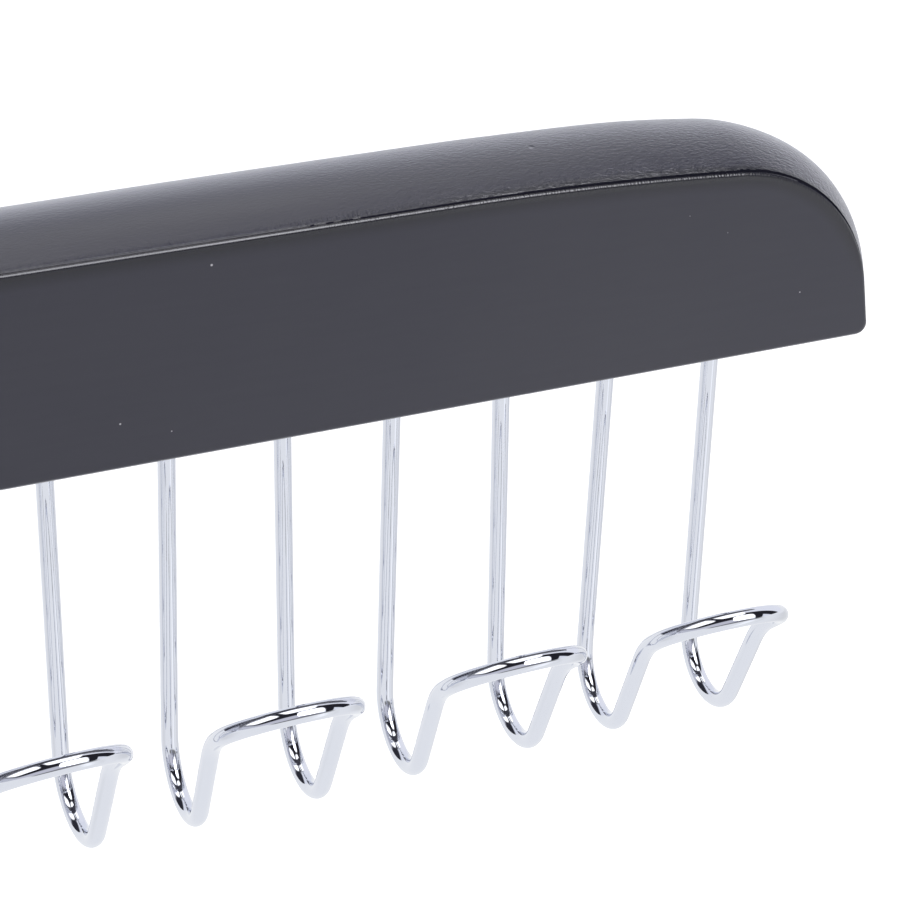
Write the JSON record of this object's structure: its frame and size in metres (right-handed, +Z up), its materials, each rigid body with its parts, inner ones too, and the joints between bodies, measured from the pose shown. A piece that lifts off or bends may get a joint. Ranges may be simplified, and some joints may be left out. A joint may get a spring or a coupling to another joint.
{
  "type": "belt hanger",
  "caption": "Wardrobe hanger with a flat black lacquered bar under a swivelling rod hook and a row of bent chromed wire hooks for belts.",
  "frame": {"origin": "where the wardrobe rod bears on the inside of the swivel hook, at the top of its arc", "axes": "+X to the right along the bar, -Y towards the front, where the belt hooks open, and +Z up"},
  "size_m": [0.435, 0.0512, 0.1876],
  "materials": {
    "lacquered_wood": "black satin lacquer with a fine ripple",
    "chrome_wire": "bright chrome plating",
    "zinc_steel": "dull zinc plating"
  },
  "bodies": {
    "rod_hook": {"swivel_hook": "chrome_wire", "lock_nut": "zinc_steel", "washer": "zinc_steel"},
    "hanger": {"bar": "lacquered_wood", "collar": "chrome_wire", "bush": "zinc_steel", "belt_hook_1": "chrome_wire", "belt_hook_2": "chrome_wire", "belt_hook_3": "chrome_wire", "belt_hook_4": "chrome_wire", "belt_hook_5": "chrome_wire", "belt_hook_6": "chrome_wire", "belt_hook_7": "chrome_wire", "belt_hook_8": "chrome_wire", "belt_hook_9": "chrome_wire", "belt_hook_10": "chrome_wire"}
  },
  "joints": [
    {"name": "hook_swivel", "type": "hinge", "parent": "rod_hook", "child": "hanger", "pos_m": [0, 0, -0.0709], "axis": [0, 0, 1], "continuous": true}
  ]
}
